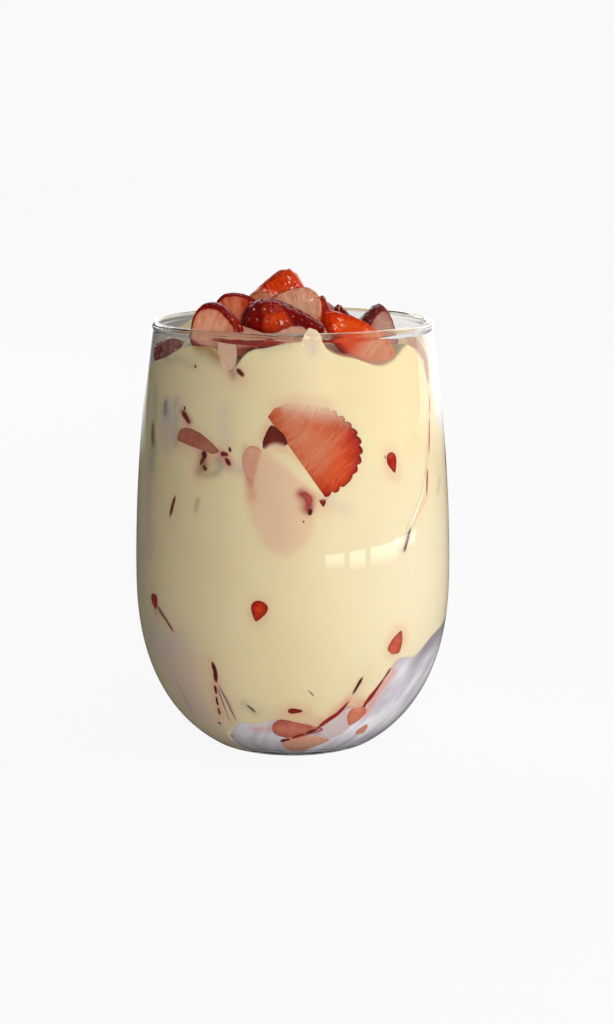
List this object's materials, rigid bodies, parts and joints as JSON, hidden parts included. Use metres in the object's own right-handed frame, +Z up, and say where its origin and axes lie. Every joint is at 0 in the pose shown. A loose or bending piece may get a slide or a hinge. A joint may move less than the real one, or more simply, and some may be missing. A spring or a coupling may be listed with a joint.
{
  "type": "vanilla ice cream with strawberries",
  "caption": "Stemless clear glass filled to its rim with vanilla cream, with cut strawberries heaped on top and pressed against the inside of the wall.",
  "frame": {"origin": "middle of the glass's foot, on the surface it stands on", "axes": "+Z up the glass's axis, -Y towards the viewer, +X to the viewer's right"},
  "size_m": [0.0926, 0.0926, 0.1387],
  "materials": {
    "glass": "clear, polished",
    "cream": "soft, pale yellow, faintly moist",
    "strawberry": "wet cut fruit, orange-red flesh and darker red skin"
  },
  "bodies": {
    "root": {"glass": "glass", "cream": "cream", "wall_big_slice": "strawberry", "wall_veiled_slice": "strawberry", "wall_dark_scrap": "strawberry", "wall_flap_scrap": "strawberry", "wall_left_slice": "strawberry", "wall_left_scrap_upper": "strawberry", "wall_left_scrap_lower": "strawberry", "wall_left_scrap_right": "strawberry", "wall_left_sliver": "strawberry", "wall_right_drop": "strawberry", "wall_middle_scrap": "strawberry", "wall_front_drop": "strawberry", "wall_right_wedge": "strawberry", "wall_far_left_scrap": "strawberry", "low_left_slice": "strawberry", "low_front_scrap": "strawberry", "low_right_sliver": "strawberry", "bottom_front_slice": "strawberry", "bottom_orange_slice": "strawberry", "bottom_salmon_scrap": "strawberry", "bottom_pale_slice": "strawberry", "bottom_edge_slice": "strawberry", "bottom_corner_scrap": "strawberry", "bottom_far_slice": "strawberry", "side_right_slice": "strawberry", "side_left_slice": "strawberry", "back_wall_slice": "strawberry", "back_low_slice": "strawberry", "back_left_scrap": "strawberry", "back_scrap": "strawberry", "back_right_drop": "strawberry", "back_low_drop": "strawberry", "bottom_back_slice": "strawberry", "bottom_back_left_slice": "strawberry", "heap_notch_scrap": "strawberry", "heap_right_slice": "strawberry", "heap_left_low_slice": "strawberry", "heap_grey_slice": "strawberry", "heap_seeded_half": "strawberry", "heap_left_slice": "strawberry", "heap_pale_slice": "strawberry", "heap_left_upper_slice": "strawberry", "heap_apex_tip": "strawberry", "heap_small_tip": "strawberry", "heap_right_chunk": "strawberry", "heap_dark_scrap": "strawberry", "heap_far_left_half": "strawberry", "heap_back_half": "strawberry", "heap_back_left_slice": "strawberry", "heap_back_right_slice": "strawberry", "heap_back_low_slice": "strawberry"}
  },
  "joints": []
}
